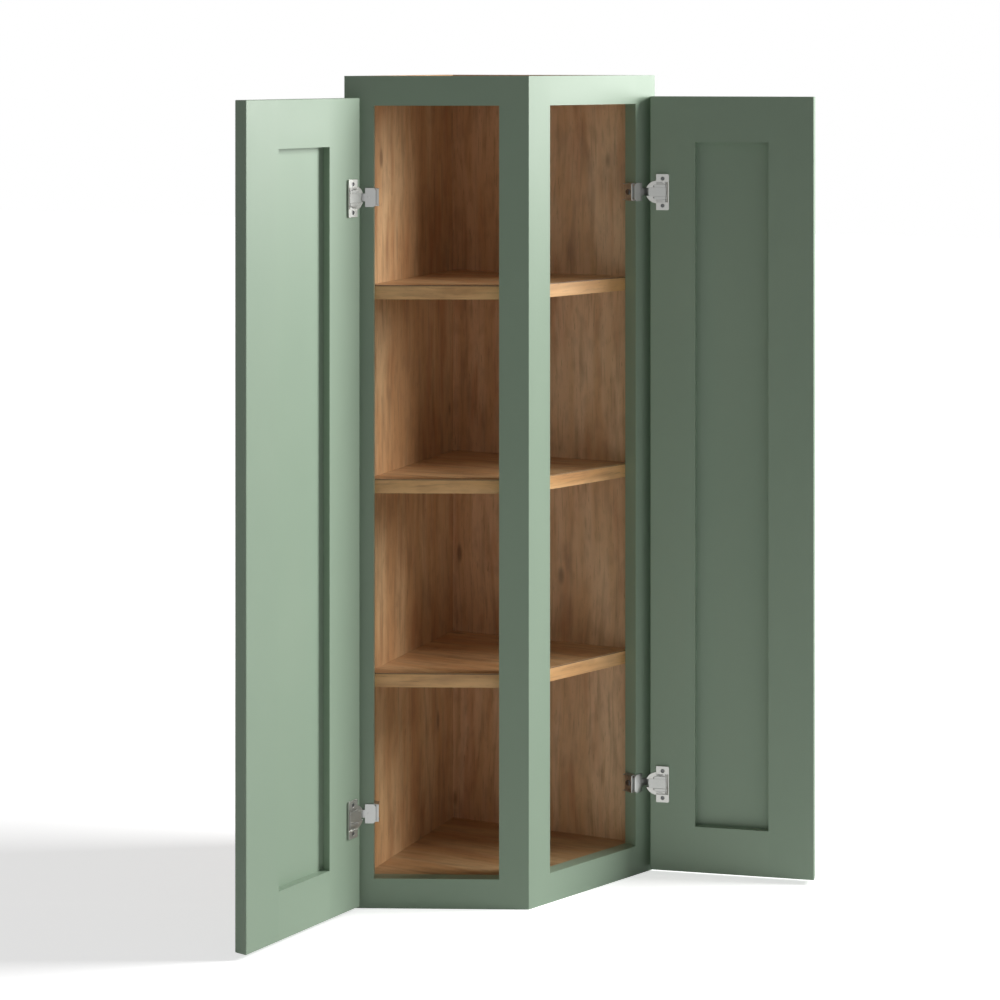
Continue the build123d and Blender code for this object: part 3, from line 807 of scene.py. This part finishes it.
def softened_pressing(name):
    """A hinge pressing as the source has it, merged, with its sharp edges rounded over."""
    shape = bmesh.new()
    shape.from_mesh(nodes[name].data)
    bmesh.ops.remove_doubles(shape, verts=shape.verts, dist=0.00001)
    bmesh.ops.dissolve_limit(shape, angle_limit=radians(1), verts=shape.verts, edges=shape.edges)
    soften(shape, sharp_edges(shape), pressing_soft)
    return shape


# Nickel plate over pressed steel: smooth and bright, and it picks up the room's greys.
pressed_nickel = plated_metal(
    "nickel_plated_steel", "bcbdbb", rough=0.34, flaw=0.002, strength=0.05,
)

punch_along, punch_up, plate_top, punch_radius, punch_proud = 31.5, 0.6, 1.55, 1.3, 0.25
for hinge in hinges:
    name = hinge["name"]
    arm = softened_pressing(f"{name}_arm")
    punch = bmesh.new()
    bmesh.ops.create_uvsphere(punch, u_segments=20, v_segments=10, radius=punch_radius, matrix=(
        Matrix.Translation((punch_along, punch_up, plate_top))
        @ Matrix.Diagonal((1, 1, punch_proud / punch_radius, 1))
    ))
    join_in(arm, punch, hinge["on_frame"])
    metal_piece(arm, f"{name}_pressed_arm", pressed_nickel, "cabinet", "nickel_steel", f"{name}_arm")


# Hinge brackets: steel pressings of the same plate that carry the arms, screwed to the
# inner edges of the outer stiles. Each has a turned-up lip along its front.
stile_width, bracket_rise, lip_low, lip_half = 38.1, 6.4, 4.6, 11.2
lip_near, lip_far, web_low, web_lap, sheet_thick, lip_soft = 1.7, 3.4, 2.95, 0.4, 0.8, 0.3
for hinge in hinges:
    name = hinge["name"]
    bracket = softened_pressing(f"{name}_bracket")
    lip = bmesh.new()
    block(
        lip, (stile_width + lip_low, stile_width + bracket_rise),
        (-lip_half, lip_half), (-lip_far, -lip_near),
    )
    block(
        lip, (stile_width + web_low, stile_width + lip_low + web_lap),
        (-lip_half, lip_half), (-lip_far, -lip_far + sheet_thick),
    )
    soften(lip, lip.edges[:], lip_soft)
    join_in(bracket, lip, hinge["on_frame"])
    metal_piece(
        bracket, f"{name}_pressed_bracket", pressed_nickel, "cabinet", "nickel_steel",
        f"{name}_bracket",
    )


# Bracket screws: one pan head cross-recess screw of zinc plated steel through each bracket
# and level into the stile's edge.
bracket_screw = {
    "head_radius": 3.8, "head_height": 2.1, "shank_radius": 2.0, "length": 20.0, "sunk": False,
}
screw_behind_face, screw_seat = 10.5, 2.85
into_stile = Matrix.Rotation(radians(90), 4, "Y")
for side in frame_turns:
    screws = bmesh.new()
    for hinge in hinges:
        if hinge["side"] == side:
            seat = Matrix.Translation((stile_width + screw_seat, 0, -screw_behind_face))
            screw(screws, hinge["on_frame"] @ seat @ into_stile, **bracket_screw)
    metal_piece(
        screws, f"{side}_pan_head_screws", screw_plate_and_painted_shade, "cabinet", "screw_steel",
        f"{side}_bracket_screws",
    )


# Pins and springs: a plated pin through each cup and arm, and a hairpin of hardened strip
# in the cup's bay. Both are the source's own meshes, and the cover hides them.
blued_strip = plated_metal("hardened_spring_strip", "77777a", rough=0.4, flaw=0.002, strength=0.2)
for hinge in hinges:
    wear([f"{hinge['name']}_pin"], cast_nickel)
    wear([f"{hinge['name']}_spring"], blued_strip)
